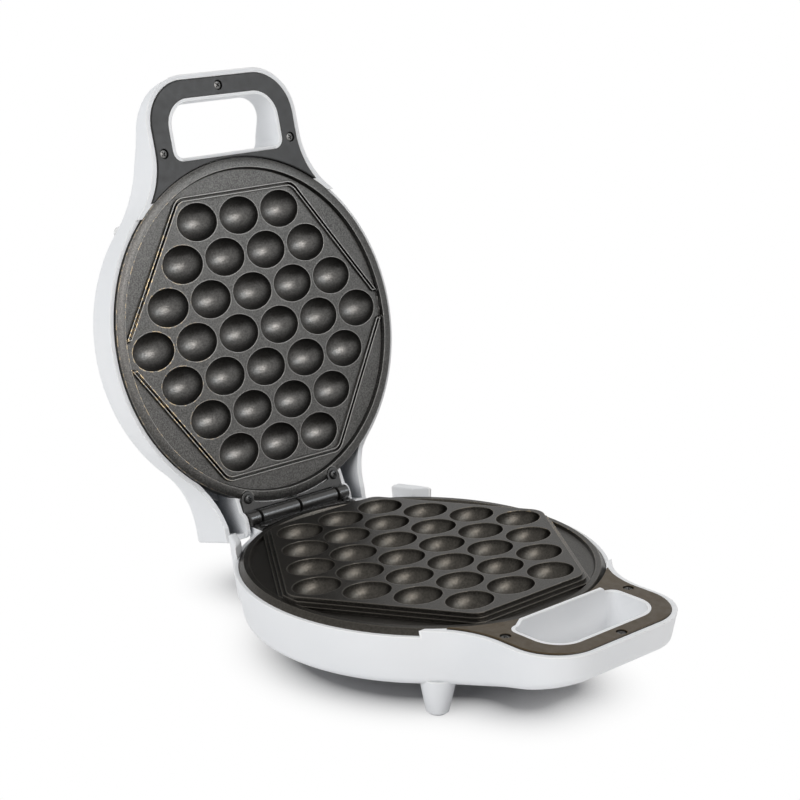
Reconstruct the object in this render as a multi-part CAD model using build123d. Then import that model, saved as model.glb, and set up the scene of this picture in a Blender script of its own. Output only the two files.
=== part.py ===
from build123d import *
from math import hypot, radians, sqrt, tan
import os

# ---- Driving dimensions, mm. Each half is drawn face up: origin on its plate's axis, +Z out of the
# ---- cooking face, handle towards -Y, hinge towards +Y. The upper half is then turned over and opened.

# Cooking plates
RIM_CREST_R = 99.6
RIM_WIDTH = 3.1
FLANGE_R = 102.2             # foot of the sloping flange outside the rim
FLANGE_DROP = 3.0            # from the rim's crest to the foot of the flange
PLATE_EDGE_Z = -6.0          # underside of the plate outside its cells
LOWER_RIM_H = 1.0
UPPER_RIM_H = 2.7
LOWER_FIELD_Z = -0.6         # annulus between the rim and the hexagon
CELL_PITCH = 31.0            # along a row
ROW_PITCH = 22.85
ROWS = (3, 4, 5, 6, 5, 4, 3)
CELL_LENGTH = 29.0           # egg cell at its mouth, along the row
CELL_WIDTH = 22.4
CELL_DEPTH = 10.8
CELL_SKIN = 2.2              # metal left under a cell
HEX_CORNER_R = 9.0
TERRACE = (84.6, 81.0)       # lower plate's top step: to its flat sides, to its slanted sides
TERRACE_TOP = 4.8
TERRACE_STEPS = 3
TERRACE_DROP = 1.8
TERRACE_WIDTH = 1.9
FENCE = (84.0, 83.4)         # outside of the fence round the upper plate's hexagon
FENCE_WIDTH = 1.9
FENCE_H = 1.5
UNDERSIDE = (82.5, 81.0)     # thick hexagon under the cells

# Housings
BODY_R = 105.1               # at the plane of the cooking face
NECK_HALF = 55.2             # half width of the handle's neck
BASE_FRONT = 152.0
LID_FRONT = 153.8
HANDLE_CORNER_R = 29.0
FLARE_R = 45.0               # concave flare from the body into a neck
FLARE_GROWTH = 1.1           # the lid's neck flares wider by this much per mm of depth
DRAFT = 10.0                 # of the side walls, degrees
WALL = 2.4
BOTTOM_EDGE_R = 6.0
SEAT_R = 102.5               # bore that takes the plate
CAVITY_TOP_R = 100.2
CAVITY_BOTTOM_R = 96.0
CAVITY_CORNER = 5.0
HANDLE_LEVEL = 1.9           # wall top round the handle
STEP_Y = 75.0                # where the wall top steps down beside the plate
BASE_DEPTH = 31.5
LID_DEPTH = 28.0
BASE_BELLY = ((-170, -9.0), (-88, -31.5))                  # underside of the handle, Y and Z
LID_BELLY = ((-170, -8.5), (-131, -12.6), (-110, -22.0), (-62, -28.0))
BELLY_BLEND_R = (60.0, 45.0, 120.0)

# Finger opening and handle trim
OPENING_HALF = 38.7
OPENING_BACK = 106.2
OPENING_FRONT = 138.2
OPENING_BACK_R = 4.5
OPENING_FRONT_R = 14.5
COLLAR = 2.0                 # wall round the opening, flush with the trim
LIP_H = 2.8                  # lip of the base's collar beside the plate; its ends slope at 45 degrees
LIP_HALF = 31.0
LIP_SOCKET = 1.0             # the lid's collar is cut down to this height to clear the lip
TRIM_INSET = 2.8
TRIM_TOP = 2.8
TRIM_T = 3.0
TRIM_LEDGE = 1.0
TRIM_END_Y = -83.0           # where the trim's two points stop beside the plate
TRIM_EDGE = 0.5
HOLLOW_LOW = -20.0           # deepest level of the room under a trim
FIT = 0.2                    # clearance round inserted parts
HOLE_R = 1.6                 # plain screw hole
TRIM_SCREWS = ((-47.2, -110.0), (47.2, -110.0), (0.0, -145.8))
SCREW_R = 1.5
SCREW_SHANK_R = 1.45
SCREW_HEAD_R = 2.9
SCREW_HEAD_H = 1.4
SCREW_SINK = 0.6             # head below the trim's face
SCREW_LENGTH = 7.0           # below the head
PILOT_LENGTH = 8.0
BOSS_R = 3.4
COLLAR_LOW = -12.0

# Feet
FEET = {"front_left": (-57.0, -72.0), "front_right": (57.0, -72.0),
        "rear_left": (-28.0, 86.0), "rear_right": (28.0, 86.0)}
FLOOR_Z = -50.0
FOOT_ROOT = 3.0              # a foot starts this far inside the shell
FOOT_TOP_R = 10.2
FOOT_TIP_R = 5.9
FOOT_TIP_CHAMFER = 1.2
PAD_R = 3.5
PAD_H = 4.0
PAD_PROUD = 0.5

# Hinge
PLATE_GAP = 8.0              # between the two cooking planes when shut
HINGE_Y = 108.0
HINGE_Z = 2.4
OPEN_ANGLE = 105.0
KNUCKLE_R = 4.3
PIN_R = 2.0
BORE_R = 2.05
BASE_KNUCKLE = (1.0, 28.8)   # from and to, each side of the middle
LID_KNUCKLE = (30.8, 38.0)
LEAF_T = 2.0
HINGE_BLOCK_HALF = 36.0
HINGE_BLOCK_BACK = 112.0
BASE_HINGE_SCREW = (32.0, 100.0)
LID_HINGE_SCREW = (33.2, 96.4)
HINGE_BOSS_R = 4.4           # round the lid bracket's screws; the plate's rim is notched for them
PILOT_LOW = -12.0            # depth of the hinge screws' pilots and bosses
LEAF_FRONT_R = 102.8
LEAF_FRONT_Y = 96.0
KNUCKLE_GAP = 0.6
PIN_HALF = 38.4
WEB_Y = 102.8                # front of the lid bracket's web
WEB_TOP = -0.4               # below the base's barrels
TAIL_BACK = 118.0            # lid's tail, behind the hinge
TAIL_HALF = 54.6
TAIL_TOP = 4.5
TAIL_SLOPE = (86.0, 109.0)   # where the lid's edge climbs from the body to the tail
TAIL_CORNER_R = 1.2
TAIL_WALL = 3.0
HOLLOW_Y = 78.0              # a lobe's hollow starts here
HOLLOW_SKIN = 1.6            # between the plate's room and the hollow
HOLLOW_WALL_TOP = -16.0      # that skin is open above this level
SLOT_HALF = 38.6
SLOT_FLOOR = -10.0
CHEEK_FRONT = 103.0          # walls beside the hinge
CHEEK_BACK = 117.5
CHEEK_TOP = 7.4
CHEEK_NOSE_R = 6.0
CHEEK_HEEL_R = 3.0
WING_TOP = 6.0
WING_HEAD = ((-76.2, 71.6), (-66.2, 90.5), (-60.6, 90.5), (-66.6, 78.5))
WING_FOOT = ((-72.2, 68.0), (-64.4, 84.8), (-60.0, 84.8), (-63.0, 76.0))
WING_EDGE_R = 1.8
HINGE_BLOCK_R = 5.0

# Inside
POST_R = 4.2
POST_AT = (80.0, 46.0)
POST_RECESS_R = 3.2
PLATE_SCREW_HEAD_Z = -14.0   # where a plate screw's head bears
PLATE_THREAD_TOP = -2.6
ELEMENT = (58.0, 58.0)
ELEMENT_WIDTH = 6.0
ELEMENT_T = 4.0
ELEMENT_GAP = 22.0
SHIELD = (70.0, 70.0)
SHIELD_T = 0.8
GLAND_Z = -21.0
GLAND_R = 4.6
GLAND_FRONT = 98.0
GLAND_FLANGE_T = 2.0
GLAND_SLEEVE = 12.0
CORD_BORE_R = 3.0
CORD_MOUTH = 4.0
THERMOSTAT_R = 8.0
THERMOSTAT_H = 10.0
FUSE_R = 2.2
FUSE_HALF = 14.0
FUSE_Y = 30.0
TERMINALS = (32.0, 12.0, 9.0)
TERMINALS_Y = 66.0
LAMP_R = 2.5
LAMP_H = 6.0
LENS_AT = (66.5, -70.0)
LENS_R = 4.0
LENS_TIP = -31.2             # its outermost level
LENS_BACK = -18.0            # where its lamp begins
LENS_BORE_END = -10.0
LENS_DOME = 3.2

FAR = 200.0                  # beyond the object on every side, for cuts
POSTS = [(x, y) for x in (-POST_AT[0], POST_AT[0]) for y in (-POST_AT[1], POST_AT[1])]
LOWER_PLATE_BOTTOM = TERRACE_TOP - CELL_DEPTH - CELL_SKIN
UPPER_HINGE_Z = PLATE_GAP - HINGE_Z    # hinge axis seen from the upper half's own frame
TO_SHUT = Pos(0, 0, PLATE_GAP) * Rot(0, 180, 0)
TO_OPEN = Pos(0, HINGE_Y, HINGE_Z) * Rot(-OPEN_ANGLE, 0, 0) * Pos(0, -HINGE_Y, -HINGE_Z)


# ---- Helpers

def slab(plan, low, high):
    """A flat plan raised between two heights."""
    return Pos(0, 0, low) * extrude(plan, high - low)


def disc(radius, low, high, x=0.0, y=0.0):
    return Pos(x, y, low) * Cylinder(radius, high - low, align=(Align.CENTER, Align.CENTER, Align.MIN))


def block(x0, x1, y0, y1, z0, z1):
    size = (x1 - x0, y1 - y0, z1 - z0)
    return Pos((x0 + x1) / 2, (y0 + y1) / 2, (z0 + z1) / 2) * Box(*size)


def both_sides(solid):
    return solid + mirror(solid, Plane.YZ)


def along_x(radius, x0, x1, y, z):
    """A round bar parallel to the hinge."""
    return Pos((x0 + x1) / 2, y, z) * Rot(0, 90, 0) * Cylinder(radius, x1 - x0)


def hexagon(reach, grow=0.0, corner=HEX_CORNER_R):
    """Hexagon with flats towards +Y and -Y and its other sides along the slanted lines of cells."""
    flat, side = (distance + grow for distance in reach)
    slant = hypot(CELL_PITCH / 2, ROW_PITCH)
    normal_x, normal_y = ROW_PITCH / slant, CELL_PITCH / 2 / slant
    top = (side - normal_y * flat) / normal_x
    tip = side / normal_x
    points = [(tip, 0), (top, flat), (-top, flat), (-tip, 0), (-top, -flat), (top, -flat)]
    return fillet(make_face(Polyline(*points, close=True)).vertices(), corner)


def ring_profile(points):
    """Solid of revolution about Z from (radius, height) points."""
    return revolve(make_face(Plane.XZ * Polyline(*points, close=True)), Axis.Z)


# ---- Cooking plates

def egg_cell():
    """Half an egg, its mouth at z=0 and a little spare above."""
    spare = 0.6
    rise = CELL_DEPTH + spare
    widen = 1 / sqrt(1 - (spare / rise) ** 2)
    ball = Rot(90, 0, 0) * Rot(0, 0, 90) * Sphere(1)
    return Pos(0, 0, spare) * scale(ball, (CELL_LENGTH / 2 * widen, CELL_WIDTH / 2 * widen, rise))


def cell_places():
    middle = (len(ROWS) - 1) / 2
    return [((i - (count - 1) / 2) * CELL_PITCH, (middle - row) * ROW_PITCH)
            for row, count in enumerate(ROWS) for i in range(count)]


def cooking_plate(rim_h, field_z, mouth_z, relief):
    """Round casting with a raised rim, the hexagon's relief and its egg cells."""
    foot_z = rim_h - FLANGE_DROP
    inner_r = RIM_CREST_R - RIM_WIDTH
    bottom = mouth_z - CELL_DEPTH - CELL_SKIN
    body = ring_profile([(0, PLATE_EDGE_Z), (FLANGE_R, PLATE_EDGE_Z), (FLANGE_R, foot_z),
                         (RIM_CREST_R, rim_h), (inner_r, rim_h), (inner_r - 1.0, field_z), (0, field_z)])
    body += slab(hexagon(UNDERSIDE), bottom, PLATE_EDGE_Z)
    body += relief & disc(inner_r, field_z, FAR)
    cell = egg_cell()
    return body - [Pos(x, y, mouth_z) * cell for x, y in cell_places()]


def lower_plate():
    relief = [slab(hexagon(TERRACE, k * TERRACE_WIDTH), LOWER_FIELD_Z - 1, TERRACE_TOP - k * TERRACE_DROP)
              for k in range(TERRACE_STEPS)]
    plate = cooking_plate(LOWER_RIM_H, LOWER_FIELD_Z, TERRACE_TOP, relief[0] + relief[1:])
    return plate - four_posts(SCREW_R, PLATE_EDGE_Z - 1, PLATE_THREAD_TOP)


def upper_plate():
    fence = hexagon(FENCE) - hexagon(FENCE, -FENCE_WIDTH, HEX_CORNER_R - FENCE_WIDTH)
    plate = cooking_plate(UPPER_RIM_H, 0, 0, slab(fence, 0, FENCE_H))
    return plate - both_sides(disc(HINGE_BOSS_R + 2 * FIT, -FAR, FAR, *LID_HINGE_SCREW))


# ---- Housings

def housing_plan(front, height, inset=0.0, tail=False):
    """Outline at a height: drafted round body and handle neck. The lid has a straight-sided tail and a
    steeper neck with a wider flare."""
    draft = height * tan(radians(DRAFT))
    grow = draft - inset
    half = NECK_HALF + (draft / 2 if tail else draft) - inset
    length = front + grow
    plan = Circle(BODY_R + grow) + Pos(0, -length / 2) * Rectangle(2 * half, length)
    if tail:
        back = TAIL_BACK - inset
        plan += Pos(0, back / 2) * Rectangle(2 * (TAIL_HALF - inset), back)
    inner = [v for v in plan.vertices() if abs(v.X) < NECK_HALF + 5]
    wider = FLARE_GROWTH * max(0, -height) if tail else 0
    plan = fillet([v for v in inner if 1 - length < v.Y < 0], FLARE_R - grow + wider)
    if tail:
        inner = [v for v in plan.vertices() if abs(v.X) < NECK_HALF + 5]
        plan = fillet([v for v in inner if 0 < v.Y < TAIL_BACK - 10], FLARE_R - grow)
    return fillet([v for v in plan.vertices() if v.Y < 1 - length], HANDLE_CORNER_R + grow)


def housing_form(front, low, high, inset=0.0, tail=False):
    """Solid between two heights with drafted walls."""
    outlines = [Pos(0, 0, z) * housing_plan(front, z, inset, tail) for z in (low, high)]
    return loft(outlines, ruled=True)


def belly(profile, depth, lift):
    """Everything above the underside: sloped below the handle, flat below the body."""
    points = [(y, z + lift) for y, z in profile]
    start, back = points[0][0], TAIL_BACK + 10
    sketch = make_face(Polyline((start, FAR), *points, (back, lift - depth), (back, FAR), close=True))
    bends = [v for v in sketch.vertices() if start < v.X < back]
    radii = BELLY_BLEND_R[-len(bends):]
    for bend, radius in zip(sorted(bends, key=lambda v: v.X), radii):
        near = min(sketch.vertices(), key=lambda v: hypot(v.X - bend.X, v.Y - bend.Y))
        sketch = fillet(near, radius)
    return extrude(Plane.YZ * sketch, FAR, both=True)


def opening_plan(grow):
    """Finger opening, nearly a rectangle with larger corners at the front."""
    length = OPENING_FRONT - OPENING_BACK + 2 * grow
    plan = Pos(0, -(OPENING_FRONT + OPENING_BACK) / 2) * Rectangle(2 * (OPENING_HALF + grow), length)
    middle = -(OPENING_FRONT + OPENING_BACK) / 2
    plan = fillet([v for v in plan.vertices() if v.Y < middle], OPENING_FRONT_R + grow)
    return fillet([v for v in plan.vertices() if v.Y > middle], OPENING_BACK_R + grow)


def trim_plan(front, inset):
    """Plan of the handle's face, from the body's edge to the front."""
    return housing_plan(front, 0, inset) & Pos(0, TRIM_END_Y - 50) * Rectangle(200, 100)


def outer_form(front, top, profile, depth, tail=False):
    """Outside of a housing with its bottom edge rounded, less so along the back of a tail."""
    outer = housing_form(front, -depth - 1, top, 0, tail) & belly(profile, depth, 0)
    low = [e for e in outer.edges() if e.bounding_box().max.Z < top - 1 and e.bounding_box().min.Y < HINGE_Y]
    outer = fillet(low, BOTTOM_EDGE_R)
    if tail:
        back = outer.faces().sort_by(Axis.Y)[-1]
        outer = fillet([e for e in back.edges() if e.center().Z < top - 1], TAIL_CORNER_R)
    return outer


def plate_cavity(profile, depth):
    """Bore and seat for the plate, and the room for the heater under it."""
    floor = WALL - depth
    room = ring_profile([(0, floor), (CAVITY_BOTTOM_R - CAVITY_CORNER, floor),
                         (CAVITY_BOTTOM_R, floor + CAVITY_CORNER), (CAVITY_TOP_R, PLATE_EDGE_Z), (0, PLATE_EDGE_Z)])
    return disc(SEAT_R, PLATE_EDGE_Z, FAR) + (room & belly(profile, depth, WALL))


def handle_hollow(front, profile, depth):
    """Room under the trim, with its screw bosses left standing."""
    ledge = TRIM_TOP - TRIM_T
    hollow = housing_form(front, HOLLOW_LOW, ledge, TRIM_INSET + TRIM_LEDGE)
    hollow &= block(-FAR, FAR, -FAR, TRIM_END_Y, HOLLOW_LOW, ledge)
    hollow &= belly(profile, depth, WALL)
    hollow -= disc(BODY_R + 2 * FIT, -FAR, FAR) + slab(opening_plan(COLLAR + 2 * FIT), -FAR, FAR)
    for x, y in TRIM_SCREWS:
        hollow -= disc(BOSS_R, -FAR, ledge, x, y)
    return hollow + slab(trim_plan(front, TRIM_INSET - FIT) - Circle(SEAT_R) - opening_plan(COLLAR), ledge, FAR)


def dress_handle(shell, front, profile, depth):
    """Collar, finger opening, trim recess and screw pilots of a handle."""
    collar = slab(opening_plan(COLLAR), COLLAR_LOW, TRIM_TOP) & belly(profile, depth, 0)
    shell = shell - handle_hollow(front, profile, depth) + collar
    shell -= slab(opening_plan(0), -FAR, FAR)
    return shell - [disc(SCREW_R, TRIM_TOP - TRIM_T - PILOT_LENGTH, FAR, x, y) for x, y in TRIM_SCREWS]


def foot(x, y):
    cone = Pos(x, y, 0) * loft([Pos(0, 0, FOOT_ROOT - BASE_DEPTH) * Circle(FOOT_TOP_R),
                                Pos(0, 0, FLOOR_Z + PAD_PROUD) * Circle(FOOT_TIP_R)])
    cone = chamfer(cone.edges().sort_by(Axis.Z)[0], FOOT_TIP_CHAMFER)
    return cone - disc(PAD_R, FLOOR_Z, FLOOR_Z + PAD_H, x, y)


def four_posts(radius, low, high):
    """One upright cylinder at each of the plate's four supports."""
    return [disc(radius, low, high, x, y) for x, y in POSTS]


def wing():
    """Ear behind the body, beside the lid's tail."""
    outlines = [Pos(0, 0, z) * make_face(Polyline(*points, close=True))
                for z, points in ((-BASE_DEPTH, WING_FOOT), (WING_TOP, WING_HEAD))]
    ear = loft(outlines, ruled=True)
    return fillet(ear.faces().sort_by(Axis.Z)[-1].edges(), WING_EDGE_R)


def base_housing():
    shell = outer_form(BASE_FRONT, HANDLE_LEVEL, BASE_BELLY, BASE_DEPTH)
    shell -= block(-FAR, FAR, -STEP_Y, FAR, LOWER_RIM_H - FLANGE_DROP, FAR)
    half = HINGE_BLOCK_HALF
    hinge_block = block(-half, half, 0, HINGE_BLOCK_BACK, -BASE_DEPTH, HINGE_Z - KNUCKLE_R)
    rear = hinge_block.edges().filter_by(Axis.Z).sort_by(Axis.Y)[-2:]
    shell += fillet(rear, HINGE_BLOCK_R)
    shell += both_sides(wing())
    shell -= plate_cavity(BASE_BELLY, BASE_DEPTH)
    shell = dress_handle(shell, BASE_FRONT, BASE_BELLY, BASE_DEPTH)
    foot_half = LIP_HALF + LIP_H
    lip = Polyline((-foot_half, 0), (-LIP_HALF, LIP_H), (LIP_HALF, LIP_H), (foot_half, 0), close=True)
    lip = extrude(Plane.XZ * make_face(lip), -COLLAR)
    shell += Pos(0, -OPENING_BACK, TRIM_TOP) * lip
    shell += four_posts(POST_R, WALL - BASE_DEPTH, PLATE_EDGE_Z)
    shell += [foot(x, y) for x, y in FEET.values()]
    shell -= four_posts(SCREW_R, PLATE_SCREW_HEAD_Z, PLATE_EDGE_Z)
    shell -= four_posts(POST_RECESS_R, -FAR, PLATE_SCREW_HEAD_Z)
    shell -= both_sides(disc(SCREW_R, PILOT_LOW, FAR, *BASE_HINGE_SCREW))
    return shell - Pos(0, 0, GLAND_Z) * Rot(-90, 0, 0) * disc(GLAND_R, GLAND_FRONT, FAR)


def tail_slope():
    """Everything above the lid's edge, which climbs along the tail."""
    low, high = UPPER_RIM_H - FLANGE_DROP, TAIL_TOP
    start, end = TAIL_SLOPE
    line = Polyline((-STEP_Y, FAR), (-STEP_Y, low), (start, low), (end, high), (FAR, high), (FAR, FAR), close=True)
    return extrude(Plane.YZ * make_face(line), FAR, both=True)


def tail_hollow():
    """Open room in each lobe of the tail, joined to the plate's room above its skin."""
    room = housing_form(LID_FRONT, WALL - LID_DEPTH, TAIL_TOP + 1, TAIL_WALL, True)
    room &= block(SLOT_HALF + WALL, FAR, HOLLOW_Y, TAIL_BACK, -FAR, FAR)
    opening = room & block(0, FAR, 0, FAR, HOLLOW_WALL_TOP, FAR)
    return both_sides(opening + (room - disc(SEAT_R + HOLLOW_SKIN, -FAR, FAR)))


def lid_housing():
    shell = outer_form(LID_FRONT, TAIL_TOP, LID_BELLY, LID_DEPTH, True)
    shell -= tail_slope()
    shell -= block(-FAR, FAR, -FAR, -STEP_Y, HANDLE_LEVEL, FAR)
    shell -= plate_cavity(LID_BELLY, LID_DEPTH) + tail_hollow()
    bracket_z = UPPER_HINGE_Z - KNUCKLE_R
    shell -= block(-SLOT_HALF, SLOT_HALF, STEP_Y, FAR, bracket_z, FAR)
    shell -= block(-SLOT_HALF, SLOT_HALF, SEAT_R, FAR, SLOT_FLOOR, FAR)
    cheek = block(SLOT_HALF, SLOT_HALF + WALL, CHEEK_FRONT, CHEEK_BACK, SLOT_FLOOR, CHEEK_TOP)
    cheek = fillet(cheek.edges().filter_by(Axis.X).sort_by(Axis.Y)[-2:].sort_by(Axis.Z)[-1], CHEEK_HEEL_R)
    cheek = fillet(cheek.edges().filter_by(Axis.X).sort_by(Axis.Y)[:2].sort_by(Axis.Z)[-1], CHEEK_NOSE_R)
    shell += both_sides(cheek)
    shell = dress_handle(shell, LID_FRONT, LID_BELLY, LID_DEPTH)
    socket = LIP_HALF + LIP_H + 1
    shell -= block(-socket, socket, -OPENING_BACK - 1, COLLAR - OPENING_BACK, LIP_SOCKET, FAR)
    shell += both_sides(disc(HINGE_BOSS_R, PILOT_LOW, bracket_z, *LID_HINGE_SCREW))
    shell -= both_sides(disc(SCREW_R, SLOT_FLOOR, FAR, *LID_HINGE_SCREW))
    shell += four_posts(POST_R, WALL - LID_DEPTH, PLATE_EDGE_Z)
    return shell - both_sides(disc(LENS_R, -FAR, LENS_BORE_END, *LENS_AT))


# ---- Handle trims, screws and pads

def handle_trim(front):
    plan = trim_plan(front, TRIM_INSET) - Circle(SEAT_R + FIT) - opening_plan(COLLAR + FIT)
    trim = slab(plan, TRIM_TOP - TRIM_T, TRIM_TOP)
    trim = chamfer(trim.faces().sort_by(Axis.Z)[-1].outer_wire().edges(), TRIM_EDGE)
    for x, y in TRIM_SCREWS:
        trim -= disc(HOLE_R, -FAR, FAR, x, y)
        trim -= disc(SCREW_HEAD_R + FIT / 2, TRIM_TOP - SCREW_SINK - SCREW_HEAD_H, FAR, x, y)
    return trim


def screw(head_top, x, y, length=SCREW_LENGTH):
    """Pan-headed screw pointing down."""
    seat = head_top - SCREW_HEAD_H
    head = disc(SCREW_HEAD_R, seat, head_top, x, y)
    head = chamfer(head.edges().sort_by(Axis.Z)[-1], SCREW_HEAD_H / 3)
    return head + disc(SCREW_SHANK_R, seat - length, seat, x, y)


def foot_pad(x, y):
    return disc(PAD_R, FLOOR_Z, FLOOR_Z + PAD_H, x, y)


# ---- Hinge

def base_hinge_bracket():
    """Leaf on the base with one long barrel each side of the middle."""
    leaf_z = HINGE_Z - KNUCKLE_R
    half = HINGE_BLOCK_HALF
    leaf = block(-half, half, LEAF_FRONT_Y, HINGE_Y, leaf_z, leaf_z + LEAF_T) - disc(LEAF_FRONT_R, -FAR, FAR)
    swing = along_x(KNUCKLE_R + KNUCKLE_GAP, BASE_KNUCKLE[1], FAR, HINGE_Y, HINGE_Z)
    leaf -= both_sides(swing + disc(HOLE_R, -FAR, FAR, *BASE_HINGE_SCREW))
    barrel = along_x(KNUCKLE_R, *BASE_KNUCKLE, HINGE_Y, HINGE_Z)
    return leaf + both_sides(barrel) - along_x(BORE_R, -FAR, FAR, HINGE_Y, HINGE_Z)


def lid_hinge_bracket():
    """Web across the lid's slot, a screwed tab at each end, and the two outer knuckles."""
    leaf_z = UPPER_HINGE_Z - KNUCKLE_R
    inner, outer = LID_KNUCKLE
    tab = block(inner, outer, LID_HINGE_SCREW[1], HINGE_Y, leaf_z, leaf_z + LEAF_T)
    tab += disc(HINGE_BOSS_R, leaf_z, leaf_z + LEAF_T, *LID_HINGE_SCREW)
    tab += along_x(KNUCKLE_R, inner, outer, HINGE_Y, UPPER_HINGE_Z)
    tab -= disc(HOLE_R, -FAR, FAR, *LID_HINGE_SCREW)
    web = block(-inner, inner, WEB_Y, WEB_Y + LEAF_T, SLOT_FLOOR, leaf_z + LEAF_T)
    web += block(-inner, inner, LEAF_FRONT_Y, WEB_Y, leaf_z, leaf_z + LEAF_T) - disc(LEAF_FRONT_R, -FAR, FAR)
    swing = inner - KNUCKLE_GAP
    web -= block(-swing, swing, WEB_Y + KNUCKLE_GAP, FAR, WEB_TOP, FAR)
    return both_sides(tab) + web - along_x(BORE_R, -FAR, FAR, HINGE_Y, UPPER_HINGE_Z)


def hinge_pin():
    return along_x(PIN_R, -PIN_HALF, PIN_HALF, HINGE_Y, HINGE_Z)


# ---- Inside the housings

def heating_element(under):
    """Hexagonal strip heater, open at the rear where its terminals are."""
    strip = hexagon(ELEMENT) - hexagon(ELEMENT, -ELEMENT_WIDTH, HEX_CORNER_R - ELEMENT_WIDTH)
    strip -= Pos(0, ELEMENT[0]) * Rectangle(ELEMENT_GAP, 3 * ELEMENT_WIDTH)
    return slab(strip, under - ELEMENT_T, under)


def heat_shield(under):
    shield = slab(hexagon(SHIELD), under - ELEMENT_T - SHIELD_T, under - ELEMENT_T)
    return shield - disc(THERMOSTAT_R + 1, -FAR, 0)


def cord_gland():
    """Strain relief at the rear of the base, where the cord comes out."""
    axis = Pos(0, 0, GLAND_Z) * Rot(-90, 0, 0)
    flange_back = HINGE_BLOCK_BACK + GLAND_FLANGE_T
    flange = disc(GLAND_R + 2, HINGE_BLOCK_BACK, flange_back)
    aligned = (Align.CENTER, Align.CENTER, Align.MIN)
    sleeve = Pos(0, 0, flange_back) * Cone(GLAND_R, CORD_BORE_R + 0.8, GLAND_SLEEVE, align=aligned)
    gland = disc(GLAND_R, GLAND_FRONT, HINGE_BLOCK_BACK) + flange + sleeve
    return axis * (gland - disc(CORD_BORE_R, flange_back + GLAND_SLEEVE - CORD_MOUTH, FAR))


def indicator_lens(x):
    """Domed lens let into the lid's outer face."""
    y = LENS_AT[1]
    sag = (LENS_R ** 2 + LENS_DOME ** 2) / (2 * LENS_DOME)
    dome = Pos(x, y, LENS_TIP + sag) * Sphere(sag) & disc(LENS_R, LENS_TIP, LENS_TIP + LENS_DOME, x, y)
    return dome + disc(LENS_R, LENS_TIP + LENS_DOME, LENS_BACK, x, y)


def indicator_lamp(x):
    return disc(LAMP_R, LENS_BACK, LENS_BACK + LAMP_H, x, LENS_AT[1])


# ---- The whole object

def base_parts():
    bottom = LOWER_PLATE_BOTTOM
    shield_z = bottom - ELEMENT_T - SHIELD_T
    floor = WALL - BASE_DEPTH
    parts = {"base_housing": base_housing(), "base_handle_trim": handle_trim(BASE_FRONT), "lower_plate": lower_plate(),
             "lower_heating_element": heating_element(bottom), "lower_heat_shield": heat_shield(bottom),
             "hinge_base_bracket": base_hinge_bracket(), "hinge_pin": hinge_pin(), "cord_gland": cord_gland(),
             "thermostat": disc(THERMOSTAT_R, bottom - THERMOSTAT_H, bottom),
             "thermal_fuse": along_x(FUSE_R, -FUSE_HALF, FUSE_HALF, FUSE_Y, shield_z - FUSE_R),
             "terminal_block": Pos(0, TERMINALS_Y, floor + TERMINALS[2] / 2) * Box(*TERMINALS)}
    for n, (x, y) in enumerate(TRIM_SCREWS, 1):
        parts[f"base_trim_screw_{n}"] = screw(TRIM_TOP - SCREW_SINK, x, y)
    for n, (x, y) in enumerate(POSTS, 1):
        upright = screw(SCREW_HEAD_H - PLATE_SCREW_HEAD_Z, x, -y, PLATE_THREAD_TOP - 0.3 - PLATE_SCREW_HEAD_Z)
        parts[f"plate_screw_{n}"] = Rot(180, 0, 0) * upright
    for name, (x, y) in FEET.items():
        parts[f"foot_pad_{name}"] = foot_pad(x, y)
    return parts


def lid_parts():
    bottom = -CELL_DEPTH - CELL_SKIN
    parts = {"lid_housing": lid_housing(), "lid_handle_trim": handle_trim(LID_FRONT), "upper_plate": upper_plate(),
             "upper_heating_element": heating_element(bottom), "upper_heat_shield": heat_shield(bottom),
             "hinge_lid_bracket": lid_hinge_bracket()}
    for name, x in (("power", LENS_AT[0]), ("ready", -LENS_AT[0])):
        parts[f"{name}_lens"] = indicator_lens(x)
        parts[f"{name}_lamp"] = indicator_lamp(x)
    for n, (x, y) in enumerate(TRIM_SCREWS, 1):
        parts[f"lid_trim_screw_{n}"] = screw(TRIM_TOP - SCREW_SINK, x, y)
    return parts


def hinge_screws(place, leaf_top):
    return [screw(leaf_top + SCREW_HEAD_H, x, place[1]) for x in (-place[0], place[0])]


def assembly():
    base = base_parts()
    lid = lid_parts()
    leaf = HINGE_Z - KNUCKLE_R + LEAF_T
    base["hinge_base_screw_left"], base["hinge_base_screw_right"] = hinge_screws(BASE_HINGE_SCREW, leaf)
    leaf = UPPER_HINGE_Z - KNUCKLE_R + LEAF_T
    lid["hinge_lid_screw_right"], lid["hinge_lid_screw_left"] = hinge_screws(LID_HINGE_SCREW, leaf)
    opened = {name: TO_OPEN * TO_SHUT * solid for name, solid in lid.items()}
    return base | opened


def main():
    parts = assembly()
    boxes = [solid.bounding_box() for solid in parts.values()]
    middle_y = (min(b.min.Y for b in boxes) + max(b.max.Y for b in boxes)) / 2
    to_floor = Pos(0, -middle_y, -FLOOR_Z)
    print("hinge axis in the object's frame:", round(HINGE_Y - middle_y, 3), HINGE_Z - FLOOR_Z)
    os.makedirs("parts", exist_ok=True)
    for name, solid in parts.items():
        export_step(to_floor * solid, f"parts/{name}.step")


main()
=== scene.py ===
import math

import bpy
import bmesh
from mathutils import Matrix, Vector


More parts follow.
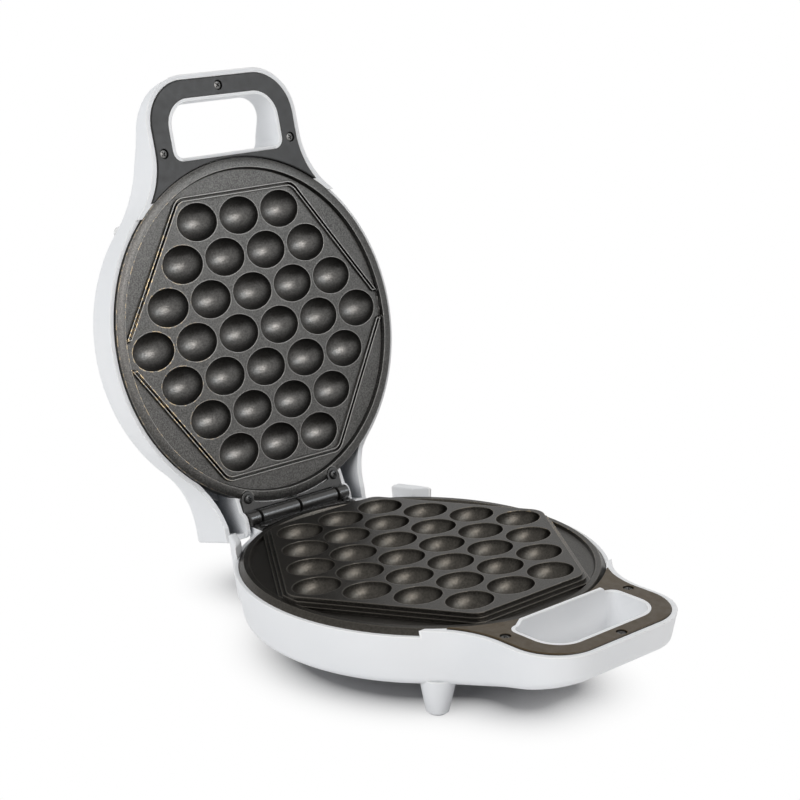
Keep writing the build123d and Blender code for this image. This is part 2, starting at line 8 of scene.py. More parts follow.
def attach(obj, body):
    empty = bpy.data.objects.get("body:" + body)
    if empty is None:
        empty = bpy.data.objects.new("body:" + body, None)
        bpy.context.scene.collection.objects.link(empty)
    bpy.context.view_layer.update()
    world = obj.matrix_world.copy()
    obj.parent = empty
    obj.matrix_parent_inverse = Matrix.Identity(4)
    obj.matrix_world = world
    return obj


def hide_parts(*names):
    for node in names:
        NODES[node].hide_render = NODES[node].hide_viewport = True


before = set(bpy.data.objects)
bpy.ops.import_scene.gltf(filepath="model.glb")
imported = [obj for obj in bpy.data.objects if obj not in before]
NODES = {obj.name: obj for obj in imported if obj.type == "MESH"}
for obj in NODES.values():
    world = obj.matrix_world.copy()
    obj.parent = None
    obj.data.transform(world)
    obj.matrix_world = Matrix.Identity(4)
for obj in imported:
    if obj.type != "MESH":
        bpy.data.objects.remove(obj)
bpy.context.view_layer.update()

# ---- Places and sizes, metres -------------------------------------------------------------------

UP = Vector((0.0, 0.0, 1.0))
LID_TILT = math.radians(15)          # the open lid leans back from upright
LID_FACE = Vector((0.0, -math.cos(LID_TILT), math.sin(LID_TILT)))    # way its plate looks
LID_RISE = LID_FACE.cross(Vector((1.0, 0.0, 0.0)))                   # way up along that plate
UPPER_CENTRE = Vector((0.0, 0.122235, 0.15527))     # middle of the open plate's cooking face
LOWER_TOP = Vector((0.0, -0.019125, 0.0548))        # middle of the lower plate's top step

WELD = 1e-6                          # points nearer than this are one
NEAR = 1e-5                          # slack at a limit
LEVEL = 2e-5                         # points within this are level, or right over each other

# ---- Camera -------------------------------------------------------------------------------------

CAMERA_AT = (-0.70032, -0.747355, 0.44646)
CAMERA_DIP = 16.12                   # degrees that it looks down by
CAMERA_TURN = -42.16                 # degrees round from +Y, here towards +X

camera = bpy.data.objects.new("camera", bpy.data.cameras.new("camera"))
bpy.context.collection.objects.link(camera)
camera.location = CAMERA_AT
camera.rotation_euler = (math.radians(90 - CAMERA_DIP), 0, math.radians(CAMERA_TURN))
camera.data.sensor_width = 36
camera.data.lens = 86.93
camera.data.shift_x = 0.0404
camera.data.shift_y = -0.0268
camera.data.clip_start = 0.01
bpy.context.scene.camera = camera

# ---- Materials ----------------------------------------------------------------------------------

NOISE_SPAN = (0.3, 0.7)              # nearly all of a noise lies in this range
NOISE_CORE = (0.35, 0.65)            # and most of it in this one
CREASE_SPAN = (0.8, 0.3)             # openness of a flat, and down in a groove
SEAM_SPAN = (0.92, 0.6)              # openness of a flat, and beside a neighbouring piece
HOLLOW_SPAN = (0.34, 0.08)           # openness at the mouth of a deep hollow, and far inside
EDGE_SPAN = (0.88, 0.66)             # openness inwards of a flat, and of an outside edge
AO_SAMPLES = 4

WHITE = (1.0, 1.0, 1.0)
SHELL_TONES = ((0.775, 0.79, 0.81), (0.81, 0.82, 0.835))
# painted shade for the shell's corners and creases
SHELL_CORNER_SHADE = (0.45, 0.45, 0.43)
# painted bluish shade for the shell's deep hollows
SHELL_HOLLOW_SHADE = (0.10, 0.12, 0.15)
# painted highlight for the shell's outside edges
SHELL_EDGE_HIGHLIGHT = (0.96, 0.96, 0.96)
# painted shade for the seam round a trim
TRIM_SEAM_SHADE = (0.003, 0.003, 0.003)
PLATE_FLECK = (0.01, 0.01, 0.01)
# painted shade for the plates' creases and grooves
PLATE_CREASE_SHADE = (0.006, 0.005, 0.004)
BRASS = (0.52, 0.40, 0.24)
ENAMEL_TONES = ((0.012, 0.012, 0.012), (0.022, 0.020, 0.018))
ENAMEL_SCUFF = (0.10, 0.10, 0.10)
LENS_TONES = ((0.82, 0.83, 0.83), (0.88, 0.88, 0.88))

CELL_DEPTH = (0.001, 0.006)          # below the cooking face, where the polish of a cell sets in
LEDGE_DEPTH = (0.010, 0.008)         # a flat above this depth, round the hexagon, isn't polished
LEDGE_FACING = (0.95, 0.985)         # how squarely such a flat looks the way of its plate


def toned(colour, share):
    return tuple(c * share for c in colour)


class Shader:
    """A small wrapper round one material's node tree."""

    def __init__(self, name):
        self.mat = bpy.data.materials.new(name)
        self.mat.use_nodes = True
        self.tree = self.mat.node_tree
        self.bsdf = self.tree.nodes["Principled BSDF"]
        coordinates = self.add("ShaderNodeTexCoord")
        self.place = coordinates.outputs["Object"]
        self.normal = coordinates.outputs["Normal"]

    def add(self, kind, **values):
        node = self.tree.nodes.new(kind)
        for key, value in values.items():
            setattr(node, key, value)
        return node

    def link(self, source, target):
        self.tree.links.new(source, target)

    def noise(self, scale, detail=3.0, rough=0.55, stretch=None):
        """Noise from 0 to 1. stretch is the turn and the scale of its coordinates."""
        node = self.add("ShaderNodeTexNoise")
        node.inputs["Scale"].default_value = scale
        node.inputs["Detail"].default_value = detail
        node.inputs["Roughness"].default_value = rough
        place = self.place
        if stretch:
            mapping = self.add("ShaderNodeMapping")
            mapping.inputs["Rotation"].default_value = stretch[0]
            mapping.inputs["Scale"].default_value = stretch[1]
            self.link(place, mapping.inputs["Vector"])
            place = mapping.outputs["Vector"]
        self.link(place, node.inputs["Vector"])
        return node.outputs["Fac"]

    def spread(self, value, span, onto=(0.0, 1.0)):
        """Maps the range span onto another, and holds the ends."""
        node = self.add("ShaderNodeMapRange")
        for key, number in zip(("From Min", "From Max", "To Min", "To Max"), (*span, *onto)):
            node.inputs[key].default_value = number
        self.link(value, node.inputs["Value"])
        return node.outputs["Result"]

    def patches(self, scale, onto=(0.0, 1.0), detail=3.0):
        """Soft patches that fill the range onto."""
        return self.spread(self.noise(scale, detail), NOISE_SPAN, onto)

    def maths(self, operation, first, second, clamp=True):
        node = self.add("ShaderNodeMath", operation=operation, use_clamp=clamp)
        for socket, value in zip(node.inputs, (first, second)):
            if isinstance(value, (int, float)):
                socket.default_value = value
            else:
                self.link(value, socket)
        return node.outputs["Value"]

    def free_maths(self, operation, first, second):
        return self.maths(operation, first, second, clamp=False)

    def axis(self, name):
        node = self.add("ShaderNodeSeparateXYZ")
        self.link(self.place, node.inputs["Vector"])
        return node.outputs[name]

    def along(self, vector, direction):
        """How far a vector reaches in a fixed direction."""
        node = self.add("ShaderNodeVectorMath", operation="DOT_PRODUCT")
        node.inputs[1].default_value = direction
        self.link(vector, node.inputs[0])
        return node.outputs["Value"]

    def blend(self, factor, first, second):
        """Mixes two colours, each of them a tuple or an output."""
        node = self.add("ShaderNodeMix", data_type="RGBA")
        self.link(factor, node.inputs["Factor"])
        for key, colour in (("A", first), ("B", second)):
            socket = [s for s in node.inputs if s.name == key and s.type == "RGBA"][0]
            if isinstance(colour, tuple):
                socket.default_value = (*colour, 1)
            else:
                self.link(colour, socket)
        return [s for s in node.outputs if s.type == "RGBA"][0]

    def openness(self, reach, samples=AO_SAMPLES, **values):
        """1 where nothing stands within reach of a surface, and less the more does."""
        node = self.add("ShaderNodeAmbientOcclusion", samples=samples, **values)
        node.inputs["Distance"].default_value = reach
        return node.outputs["AO"]

    def convex_edges(self, reach):
        """Grows from 0 on a flat to 1 on an outside edge."""
        return self.spread(self.openness(reach, inside=True, only_local=True), EDGE_SPAN)

    def creases(self, reach):
        """Grows from 0 on a flat to 1 in a groove or corner of the piece itself."""
        return self.spread(self.openness(reach, only_local=True), CREASE_SPAN)

    def seams(self, reach):
        """Grows from 0 on a flat to 1 beside a neighbouring piece."""
        return self.spread(self.openness(reach), SEAM_SPAN)

    def bump(self, height, strength, distance, edge=0.0):
        """Raises the surface by height. edge is how far its outside edges look rounded."""
        node = self.add("ShaderNodeBump")
        node.inputs["Strength"].default_value = strength
        node.inputs["Distance"].default_value = distance
        self.link(height, node.inputs["Height"])
        if edge:
            bevel = self.add("ShaderNodeBevel", samples=4)
            bevel.inputs["Radius"].default_value = edge
            self.link(bevel.outputs["Normal"], node.inputs["Normal"])
        self.link(node.outputs["Normal"], self.bsdf.inputs["Normal"])

    def set(self, **values):
        """Sets or links inputs of the Principled BSDF, whose names have _ for a space here."""
        for key, value in values.items():
            socket = self.bsdf.inputs[key.replace("_", " ")]
            if isinstance(value, (int, float)):
                socket.default_value = value
            elif isinstance(value, tuple):
                socket.default_value = (*value, 1)
            else:
                self.link(value, socket)


def moulded_shell():
    """White ABS: a fine spark-eroded grain, faint clouding, patchy painted shade in the corners,
    painted bluish shade in deep hollows, edges painted paler as a highlight, and faint scuffs."""
    s = Shader("white_shell")
    base = s.blend(s.patches(16, detail=2), *SHELL_TONES)
    # Painted shade: the shell's corners and creases are darkened, in patches.
    corner_shade = s.maths("MULTIPLY", s.creases(0.004), s.spread(s.noise(120), (0.4, 0.7), (0.1, 0.5)))
    base = s.blend(corner_shade, base, SHELL_CORNER_SHADE)
    # Painted shade: deep hollows of the shell darken towards a bluish near-black.
    hollow = s.spread(s.openness(0.03, samples=6), HOLLOW_SPAN, (0, 0.85))
    base = s.blend(hollow, base, SHELL_HOLLOW_SHADE)
    # Painted highlight: the shell's outside edges are made paler.
    base = s.blend(s.maths("MULTIPLY", s.convex_edges(0.0008), 0.8), base, SHELL_EDGE_HIGHLIGHT)
    scuffs = s.noise(300, detail=2, rough=0.5, stretch=((0.3, 0.5, 0.7), (0.08, 1.0, 1.0)))
    rough = s.patches(70, (0.38, 0.48))
    rough = s.maths("ADD", rough, s.spread(scuffs, (0.66, 0.74), (0, 0.15)))
    s.set(Base_Color=base, Roughness=rough, IOR=1.48)
    s.bump(s.noise(1700, detail=2), strength=0.08, distance=0.0002, edge=0.0006)
    return s.mat


def textured_trim(name, colour):
    """Dark moulded plastic with a leathery spark texture, clouded, paler in patches along its
    outside edges, and painted black shade in the seam round it."""
    s = Shader(name)
    grain = s.noise(1300, rough=0.6)
    base = s.blend(s.spread(grain, NOISE_CORE), colour, toned(colour, 1.3))
    clouds = s.spread(s.noise(45, detail=2), (0.4, 0.7), (0, 0.35))
    base = s.blend(clouds, base, toned(colour, 0.75))
    pale_edges = s.maths("MULTIPLY", s.convex_edges(0.0006),
                     s.spread(s.noise(350), NOISE_CORE, (0.2, 0.7)))
    base = s.blend(pale_edges, base, toned(colour, 2.4))
    # Painted shade: the trim turns near-black where it lies beside a neighbouring piece.
    base = s.blend(s.seams(0.0015), base, TRIM_SEAM_SHADE)
    s.set(Base_Color=base, Roughness=s.patches(220, (0.42, 0.54)), IOR=1.42)
    s.bump(grain, strength=0.3, distance=0.0002, edge=0.0004)
    return s.mat


def nonstick(name, colour, worn_side, face, polish):
    """Satin coating over cast metal: fine grain, clouding, pale and dark flecks, painted shade in
    its creases, cells polished by use, and edges painted paler as a highlight.

    worn_side is where along X the coating of the edges starts and ends wearing through to brass.
    face is a point on the cooking face, and the way it looks.
    polish is the darker and the paler tone of the polished cells, as shares of the colour."""
    s = Shader(name)
    point, facing = face
    depth = s.free_maths("SUBTRACT", point.dot(facing), s.along(s.place, facing))
    ledge = s.maths("MULTIPLY", s.spread(s.along(s.normal, facing), LEDGE_FACING),
                    s.spread(depth, LEDGE_DEPTH))
    polished = s.maths("MULTIPLY", s.spread(depth, CELL_DEPTH), s.maths("SUBTRACT", 1.0, ledge))
    grain = s.noise(1100, detail=5, rough=0.7)
    base = s.blend(s.spread(s.noise(30), NOISE_CORE), colour, toned(colour, 1.2))
    base = s.blend(s.spread(grain, (0.42, 0.60)), base, toned(colour, 2.2))
    pale_flecks = s.spread(s.noise(2300, detail=1), (0.70, 0.76), (0, 0.5))
    base = s.blend(pale_flecks, base, toned(colour, 3))
    dark_flecks = s.spread(s.noise(900, detail=1), (0.74, 0.78), (0, 0.8))
    base = s.blend(dark_flecks, base, PLATE_FLECK)
    # Painted shade: the plate's creases and grooves are darkened to near-black.
    base = s.blend(s.maths("MULTIPLY", s.creases(0.0020), 0.9), base, PLATE_CREASE_SHADE)
    worn = s.blend(s.spread(s.noise(800, detail=4, rough=0.7), (0.36, 0.64)),
                   *(toned(colour, share) for share in polish))
    base = s.blend(polished, base, worn)
    edges = s.convex_edges(0.0007)
    # Painted highlight: the plate's outside edges are made much paler.
    base = s.blend(s.maths("MULTIPLY", edges, 0.7), base, toned(colour, 7))
    bare = s.maths("MULTIPLY", s.spread(s.noise(420), (0.50, 0.58)),
                   s.spread(s.axis("X"), worn_side))
    base = s.blend(s.maths("MULTIPLY", edges, bare), base, BRASS)
    s.set(Base_Color=base, Metallic=1.0, Roughness=s.spread(grain, NOISE_SPAN, (0.33, 0.45)))
    s.bump(grain, strength=0.35, distance=0.0003, edge=0.0004)
    return s.mat


def black_enamel():
    """Glossy black stoving enamel, slightly wavy, with long faint scuffs."""
    s = Shader("black_hinge")
    base = s.blend(s.noise(90), *ENAMEL_TONES)
    streaks = s.noise(260, detail=4, rough=0.7, stretch=((0, 0, 0), (0.25, 1.0, 1.0)))
    base = s.blend(s.spread(streaks, (0.60, 0.68), (0, 0.6)), base, ENAMEL_SCUFF)
    s.set(Base_Color=base, Roughness=s.patches(300, (0.24, 0.36)), IOR=1.6)
    s.bump(s.noise(420), strength=0.12, distance=0.0003, edge=0.0005)
    return s.mat


def bare_metal(name, colour, rough):
    """Turned metal, clouded. rough is the roughness of its smoothest patches."""
    s = Shader(name)
    s.set(Base_Color=s.blend(s.noise(400), colour, toned(colour, 0.7)), Metallic=1.0,
          Roughness=s.patches(500, (rough, rough + 0.14)))
    s.bump(s.noise(900), strength=0.12, distance=0.0001, edge=0.0002)
    return s.mat


def soft_rubber(name, colour):
    """Dull rubber with a fine grain."""
    s = Shader(name)
    s.set(Base_Color=s.blend(s.noise(500), colour, toned(colour, 1.2)), Roughness=0.7)
    s.bump(s.noise(1800), strength=0.2, distance=0.0002)
    return s.mat


def frosted_lens():
    """Milky clear plastic."""
    s = Shader("lens")
    s.set(Base_Color=s.blend(s.noise(250), *LENS_TONES), Roughness=s.patches(600, (0.12, 0.22)),
          Transmission_Weight=0.25, IOR=1.49)
    s.bump(s.noise(1200), strength=0.05, distance=0.0001)
    return s.mat


SHELL = moulded_shell()
LID_TRIM = textured_trim("lid_trim", (0.010, 0.010, 0.0102))
BASE_TRIM = textured_trim("base_trim", (0.034, 0.021, 0.006))
UPPER = nonstick("upper_nonstick", (0.038, 0.0370, 0.0355), worn_side=(-0.035, -0.070),
                 face=(UPPER_CENTRE, LID_FACE), polish=(1.9, 3.2))
LOWER = nonstick("lower_nonstick", (0.026, 0.024, 0.021), worn_side=(0.060, 0.110),
                 face=(LOWER_TOP, UP), polish=(1.4, 2.5))
HINGE_BLACK = black_enamel()
SCREW_BLACK = bare_metal("screw_black", (0.12, 0.118, 0.115), 0.36)
SCREW_DARK = bare_metal("screw_dark", (0.05, 0.05, 0.05), 0.30)
STEEL = bare_metal("steel", (0.6, 0.6, 0.6), 0.3)
PAD = soft_rubber("rubber_pad", (0.10, 0.10, 0.10))
GLAND = soft_rubber("gland_rubber", (0.55, 0.56, 0.57))
LENS = frosted_lens()

# A node has the material of the first of these that its name holds, and is steel if it holds none
LOOKS = (
    ("_housing", SHELL), ("base_handle_trim", BASE_TRIM), ("lid_handle_trim", LID_TRIM),
    ("upper_plate", UPPER), ("lower_plate", LOWER), ("foot_pad", PAD), ("cord_gland", GLAND),
    ("_lens", LENS), ("hinge_", HINGE_BLACK),
)
for name, node in NODES.items():
    look = next((mat for key, mat in LOOKS if key in name), STEEL)
    for slot in node.material_slots:
        slot.material = look


# ---- Pieces -------------------------------------------------------------------------------------

def mesh_from(bm, name, sharp):
    """A smooth mesh with hard edges where faces meet at more than the angle sharp."""
    for face in bm.faces:
        face.smooth = True
    mesh = bpy.data.meshes.new(name)
    bm.to_mesh(mesh)
    bm.free()
    if "custom_normal" in mesh.attributes:
        mesh.attributes.remove(mesh.attributes["custom_normal"])
    mesh.set_sharp_from_angle(angle=sharp)
    return mesh


def new_piece(name, mesh, look):
    mesh.materials.append(look)
    piece = bpy.data.objects.new(name, mesh)
    bpy.context.collection.objects.link(piece)
    return piece


# ---- Upper plate --------------------------------------------------------------------------------

RIM_CREST_R = 0.0996
RIM_CREST = 0.0027                   # above the cooking face
RIM_FOOT_R = 0.0956                  # the inside of the rim meets the flat round the hexagon here
FLANGE_R = RIM_CREST_R + 0.0001      # all of the flange is outside this
FLANGE_LOW = -0.0004                 # and above this
FLANGE_SHARE = 0.35                  # of its drop that is left, so the rim comes up to its seat
FENCE_H = 0.0015
FENCE_WIDEN = 0.9891                 # its inner wall moves inwards to this share of its radius
LIP = 0.0006                         # each side of the fence's groove
GROOVE_WALL = 0.00005                # how far the wall of the groove leans
GROOVE_DEPTH = 0.0030
GAP_X = 0.080                        # the fence's left and right corners are beyond this
GAP_HALF = 0.0075                    # and open this far each way from the middle
GAP_RAMP = 0.0012                    # with a slope down to the opening
GAP_WELD = 2e-6                      # points nearer than this are one once it is open
UPRIGHT = 0.1                        # the normal of a wall leans up or down by less than this
PLATE_SHARP = math.radians(24)


def level(v):
    """Height of a vertex above the upper plate's cooking face."""
    return (v.co - UPPER_CENTRE).dot(LID_FACE)


def flat(v):
    """Way to a vertex along that face, from its middle."""
    offset = v.co - UPPER_CENTRE
    return offset - LID_FACE * offset.dot(LID_FACE)


def on_fence_top(v):
    return abs(level(v) - FENCE_H) < LEVEL


def lift_flange(bm):
    """Leaves only a share of the flange's drop from the crest of the rim."""
    for v in bm.verts:
        if flat(v).length > FLANGE_R and FLANGE_LOW < level(v) < RIM_CREST:
            v.co += LID_FACE * (RIM_CREST - level(v)) * (1 - FLANGE_SHARE)


def corner_fence(bm):
    """Faces of the fence that reach its left and right corners, with their edges and vertices."""
    faces = [f for f in bm.faces
             if any(on_fence_top(v) for v in f.verts)
             and all(-LEVEL < level(v) < FENCE_H + LEVEL for v in f.verts)
             and any(abs(v.co.x) > GAP_X for v in f.verts)]
    return list({part for f in faces for part in (*f.edges, *f.verts, f)})


def open_fence(bm):
    """Takes the fence down to the cooking face at its left and right corners."""
    for cut in (GAP_HALF, GAP_HALF + GAP_RAMP):
        for side in (cut, -cut):
            bmesh.ops.bisect_plane(bm, geom=corner_fence(bm), dist=WELD,
                                   plane_co=UPPER_CENTRE + LID_RISE * side, plane_no=LID_RISE)
    for v in bm.verts:
        at_corner = abs(v.co.x) > GAP_X
        in_gap = abs((v.co - UPPER_CENTRE).dot(LID_RISE)) < GAP_HALF + NEAR
        on_wall = GAP_WELD < level(v) < FENCE_H and flat(v).length < RIM_FOOT_R
        if at_corner and in_gap and (on_fence_top(v) or on_wall):
            v.co -= LID_FACE * level(v)
    bmesh.ops.remove_doubles(bm, verts=bm.verts, dist=GAP_WELD)
    bm.normal_update()


def inner_wall(tops):
    """Vertices of the fence's inner wall: those along its top, and those right below them."""
    high = {v for top in tops for edge in top.edges for v in edge.verts
            if any(abs(f.normal.dot(LID_FACE)) < UPRIGHT and f.normal.dot(flat(edge.verts[0])) < 0
                   for f in edge.link_faces)}
    feet = {foot for v in high for foot in (edge.other_vert(v) for edge in v.link_edges)
            if abs(level(foot)) < LEVEL and (flat(foot) - flat(v)).length < LEVEL}
    return high | feet


def dressed_upper_plate():
    """The plate with a batter groove cast into the top of its fence, the fence open at its left and
    right corners, and a shallower flange."""
    bm = bmesh.new()
    bm.from_mesh(NODES["upper_plate"].data)
    bmesh.ops.remove_doubles(bm, verts=bm.verts, dist=WELD)
    lift_flange(bm)
    open_fence(bm)
    tops = [f for f in bm.faces if all(on_fence_top(v) for v in f.verts)]
    for v in inner_wall(tops):
        v.co -= flat(v) * (1 - FENCE_WIDEN)
    for width in (LIP, GROOVE_WALL):
        bmesh.ops.inset_region(bm, faces=tops, thickness=width, use_boundary=True,
                               use_even_offset=True)
    for v in {v for f in tops for v in f.verts}:
        v.co -= LID_FACE * GROOVE_DEPTH
    mesh = mesh_from(bm, "upper_plate_dressed", PLATE_SHARP)
    plate = new_piece("upper_plate_dressed", mesh, UPPER)
    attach(plate, "lid")
    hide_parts("upper_plate")


dressed_upper_plate()

# ---- Screws -------------------------------------------------------------------------------------

HEAD_R = 0.0029
HEAD_H = 0.0014
SHANK_R = 0.00145
SHANK_END = -0.0060
# Radius and height, from the edge of the flat top round the head and down the shank
HEAD_PROFILE = ((0.0020, -0.00006), (0.0024, -0.00020), (0.0027, -0.00044), (HEAD_R, -0.0008),
                (HEAD_R, -HEAD_H), (SHANK_R, -HEAD_H), (SHANK_R, SHANK_END))
SEGMENTS = 32
CROSS_ARM = 0.0016                   # from the middle to the end of an arm
CROSS_HALF = 0.00042                 # half an arm's width
CROSS_DEPTH = 0.0010
CROSS_TAPER = 0.62                   # share of its width that is left at the bottom
SCREW_SHARP = math.radians(35)


def ring(bm, radius, z):
    turns = [2 * math.pi * i / SEGMENTS for i in range(SEGMENTS)]
    return [bm.verts.new((radius * math.cos(turn), radius * math.sin(turn), z)) for turn in turns]


def pairs(verts):
    """Neighbours round a closed loop."""
    return list(zip(verts, verts[1:] + verts[:1]))


def bridge(bm, upper, lower):
    """A band of faces between two closed loops."""
    for (a, b), (c, d) in zip(pairs(upper), pairs(lower)):
        bm.faces.new((a, c, d, b))


def cross_outline():
    quarter = [(CROSS_ARM, -CROSS_HALF), (CROSS_ARM, CROSS_HALF), (CROSS_HALF, CROSS_HALF)]
    turns = [Matrix.Rotation(math.pi / 2 * n, 2) for n in range(4)]
    return [turn @ Vector(point) for turn in turns for point in quarter]


def screw_mesh(name):
    """Pan head with a tapered cross recess, on a plain shank. The head's top is at Z = 0."""
    bm = bmesh.new()
    cross = [bm.verts.new((p.x, p.y, 0)) for p in cross_outline()]
    rings = [ring(bm, radius, z) for radius, z in HEAD_PROFILE]
    top_edges = [bm.edges.new(pair) for loop in (cross, rings[0]) for pair in pairs(loop)]
    bmesh.ops.triangle_fill(bm, use_beauty=True, use_dissolve=False, normal=UP, edges=top_edges)
    for upper, lower in zip(rings, rings[1:]):
        bridge(bm, upper, lower)
    deep = [bm.verts.new((v.co.x * CROSS_TAPER, v.co.y * CROSS_TAPER, -CROSS_DEPTH)) for v in cross]
    bridge(bm, deep, cross)
    deep_edges = [bm.edges.get(pair) for pair in pairs(deep)]
    bmesh.ops.triangle_fill(bm, use_beauty=True, normal=UP, edges=deep_edges)
    bm.faces.new(list(reversed(rings[-1])))
    bmesh.ops.recalc_face_normals(bm, faces=bm.faces)
    return mesh_from(bm, name, SCREW_SHARP)


def fit_screw(node, body, facing, spin, look):
    """Puts a cross-head screw where a CAD screw is: its head's top looks along facing."""
    points = [v.co for v in NODES[node].data.vertices]
    top = max(p.dot(facing) for p in points)
    rim = [p for p in points if p.dot(facing) > top - NEAR]
    centre = sum(rim, Vector()) / len(rim)
    piece = new_piece(node + "_head", screw_mesh(node + "_head"), look)
    turn = facing.to_track_quat("Z", "Y").to_matrix().to_4x4()
    turn = turn @ Matrix.Rotation(math.radians(spin), 4, "Z")
    piece.matrix_world = Matrix.Translation(centre) @ turn
    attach(piece, body)
    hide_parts(node)


# Names, body, way the heads look, turn of each head in degrees, material and slot
SCREWS = (
    ("lid_trim_screw_{}", (1, 2, 3), "lid", LID_FACE, (20, 38, 52), SCREW_BLACK, "black_screw"),
    ("base_trim_screw_{}", (1, 2, 3), "base", UP, (12, 61, 33), SCREW_BLACK, "black_screw"),
    ("hinge_lid_screw_{}", ("left", "right"), "lid", LID_FACE, (8, 48), SCREW_DARK, "black_screw"),
    ("hinge_base_screw_{}", ("left", "right"), "base", UP, (27, 70), SCREW_DARK, "black_screw"),
    ("plate_screw_{}", (1, 2, 3, 4), "base", -UP, (5, 40, 66, 25), STEEL, "steel_screw"),
)
for pattern, labels, body, facing, spins, look, slot in SCREWS:
    for label, spin in zip(labels, spins):
        fit_screw(pattern.format(label), body, facing, spin, look)

# ---- Studio -------------------------------------------------------------------------------------

# The object's footprint on the floor is a disc, blended with a rounded block from hinge to handle
BODY_R = 0.105
BODY_Y = -0.019                      # the disc's middle
BLOCK_HALF = (0.055, 0.155)          # half the block's sides along X and Y
BLOCK_ROUND = 0.045                  # radius of its corners
UNION_BLEND = 0.03                   # how widely the two run into each other
SHADOW_FADE = (-0.032, 0.014)        # the floor turns plain white between these distances from it
# the floor's colour is painted darker within this reach, as a contact shadow
CONTACT_REACH = 0.055                # of the shade close under the object
CONTACT_SPAN = (0.25, 1.0)
# colour of the painted shadow under the object, and of the open floor
FLOOR_TONES = ((0.42, 0.42, 0.43), (0.94, 0.94, 0.94))
FLOOR_HALF = 6.0
WORLD_TONE = (0.97, 0.985, 1.0)
WORLD_LEVEL = 0.24
LAMP_AIM = Vector((0.0, 0.0, 0.1))
# Name, place, width and height, watts, colour, and the kind of ray that doesn't see it
LAMPS = (
    ("key", (0.15, -1.75, 0.98), (0.5, 0.5), 7.5, (1.0, 0.97, 0.94), None),
    ("gloss", (0.40, -1.70, 1.00), (0.8, 0.7), 16, (1.0, 0.97, 0.95), "diffuse"),
    ("cool_gloss", (1.10, -1.40, 1.05), (0.5, 0.5), 8, (0.86, 0.94, 1.0), "diffuse"),
    ("left", (-1.7, -0.3, 1.0), (1.2, 1.2), 20.5, WHITE, "glossy"),
    ("top", (-0.2, 0.2, 2.0), (1.4, 1.4), 8, WHITE, "glossy"),
    ("behind", (1.3, 1.2, 1.0), (1.2, 1.2), 7, WHITE, "glossy"),
)


def shown_white(tree):
    """1 for camera, glossy and transmission rays, which see the white surroundings."""
    path = tree.nodes.new("ShaderNodeLightPath")
    total = path.outputs["Is Camera Ray"]
    for key in ("Is Glossy Ray", "Is Transmission Ray"):
        node = tree.nodes.new("ShaderNodeMath")
        node.operation = "ADD"
        node.use_clamp = True
        tree.links.new(total, node.inputs[0])
        tree.links.new(path.outputs[key], node.inputs[1])
        total = node.outputs["Value"]
    return total


def outside_footprint(s):
    """Distance along the floor from the object's footprint, negative inside."""
    offset = s.add("ShaderNodeVectorMath", operation="SUBTRACT")
    offset.inputs[1].default_value = (0, BODY_Y, 0)
    s.link(s.place, offset.inputs[0])
    reach = s.add("ShaderNodeVectorMath", operation="LENGTH")
    s.link(offset.outputs["Vector"], reach.inputs[0])
    disc = s.free_maths("SUBTRACT", reach.outputs["Value"], BODY_R)
    squares = []
    for name, half in zip("XY", BLOCK_HALF):
        past = s.free_maths("ABSOLUTE", s.axis(name), 0)
        past = s.free_maths("SUBTRACT", past, half - BLOCK_ROUND)
        past = s.free_maths("MAXIMUM", past, 0)
        squares.append(s.free_maths("MULTIPLY", past, past))
    block = s.free_maths("SQRT", s.free_maths("ADD", *squares), 0)
    block = s.free_maths("SUBTRACT", block, BLOCK_ROUND)
    union = s.add("ShaderNodeMath", operation="SMOOTH_MIN")
    s.link(disc, union.inputs[0])
    s.link(block, union.inputs[1])
    union.inputs[2].default_value = UNION_BLEND
    return union.outputs["Value"]


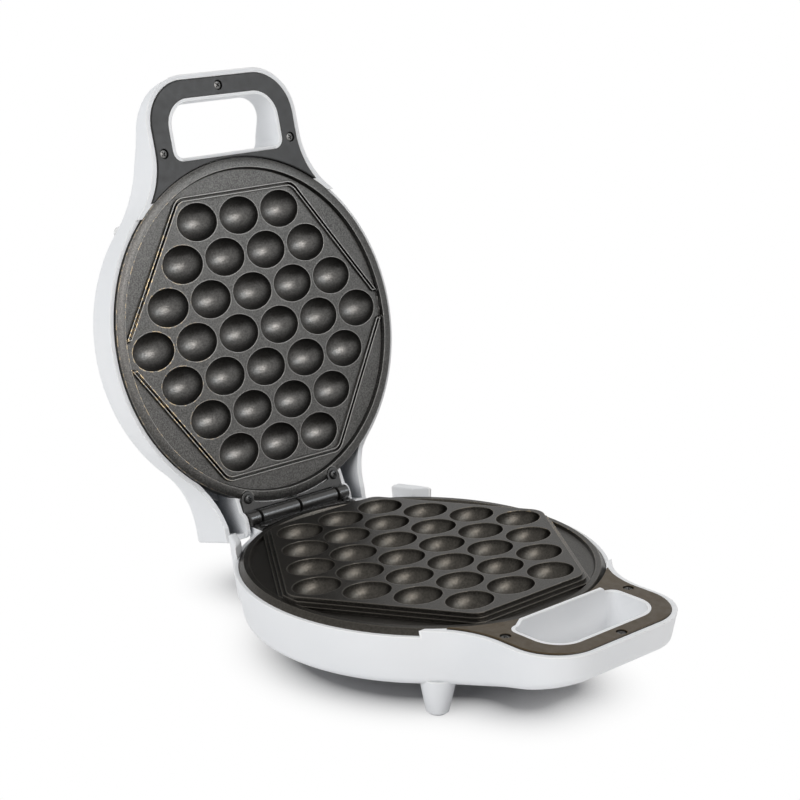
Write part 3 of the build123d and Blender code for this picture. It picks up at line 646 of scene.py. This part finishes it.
def floor_look():
    """Pale floor with a painted contact shadow close under the object, that keeps the object's
    shadow close by and is plain white further off.
    """
    s = Shader("floor")
    # Painted shadow: the floor's colour darkens where the object is close above it.
    open_air = s.spread(s.openness(CONTACT_REACH, samples=8), CONTACT_SPAN)
    s.set(Base_Color=s.blend(open_air, *FLOOR_TONES), Roughness=0.9)
    glow = s.add("ShaderNodeEmission")
    glow.inputs["Color"].default_value = (*WHITE, 1)
    glow.inputs["Strength"].default_value = 1.0
    shade = s.spread(outside_footprint(s), SHADOW_FADE, (1.0, 0.0))
    share = s.maths("SUBTRACT", 1.0, s.maths("MULTIPLY", shade, shade))
    mix = s.add("ShaderNodeMixShader")
    s.link(s.maths("MULTIPLY", shown_white(s.tree), share), mix.inputs["Fac"])
    s.link(s.bsdf.outputs["BSDF"], mix.inputs[1])
    s.link(glow.outputs["Emission"], mix.inputs[2])
    s.link(mix.outputs["Shader"], s.tree.nodes["Material Output"].inputs["Surface"])
    return s.mat


def studio_floor():
    mesh = bpy.data.meshes.new("floor")
    corners = [(-1, -1), (1, -1), (1, 1), (-1, 1)]
    mesh.from_pydata([(x * FLOOR_HALF, y * FLOOR_HALF, 0) for x, y in corners], [], [(0, 1, 2, 3)])
    floor = new_piece("floor", mesh, floor_look())


def studio_world():
    """A dim, pale world that lights the object, seen as plain white."""
    world = bpy.data.worlds.new("studio")
    bpy.context.scene.world = world
    world.use_nodes = True
    nodes, links = world.node_tree.nodes, world.node_tree.links
    plain = nodes["Background"]
    plain.inputs["Color"].default_value = (*WORLD_TONE, 1)
    plain.inputs["Strength"].default_value = WORLD_LEVEL
    seen = nodes.new("ShaderNodeBackground")
    seen.inputs["Color"].default_value = (*WHITE, 1)
    seen.inputs["Strength"].default_value = 1.0
    mix = nodes.new("ShaderNodeMixShader")
    links.new(shown_white(world.node_tree), mix.inputs["Fac"])
    links.new(plain.outputs["Background"], mix.inputs[1])
    links.new(seen.outputs["Background"], mix.inputs[2])
    links.new(mix.outputs["Shader"], nodes["World Output"].inputs["Surface"])


def softbox(name, where, size, power, colour, unseen_by):
    lamp = bpy.data.lights.new(name, "AREA")
    lamp.color = colour
    lamp.shape = "RECTANGLE"
    lamp.size, lamp.size_y = size
    lamp.energy = power
    box = bpy.data.objects.new(name, lamp)
    bpy.context.collection.objects.link(box)
    box.location = where
    box.rotation_euler = (LAMP_AIM - Vector(where)).to_track_quat("-Z", "Y").to_euler()
    if unseen_by:
        setattr(box, "visible_" + unseen_by, False)


studio_floor()
studio_world()
for lamp in LAMPS:
    softbox(*lamp)
bpy.context.scene.view_settings.view_transform = "Standard"
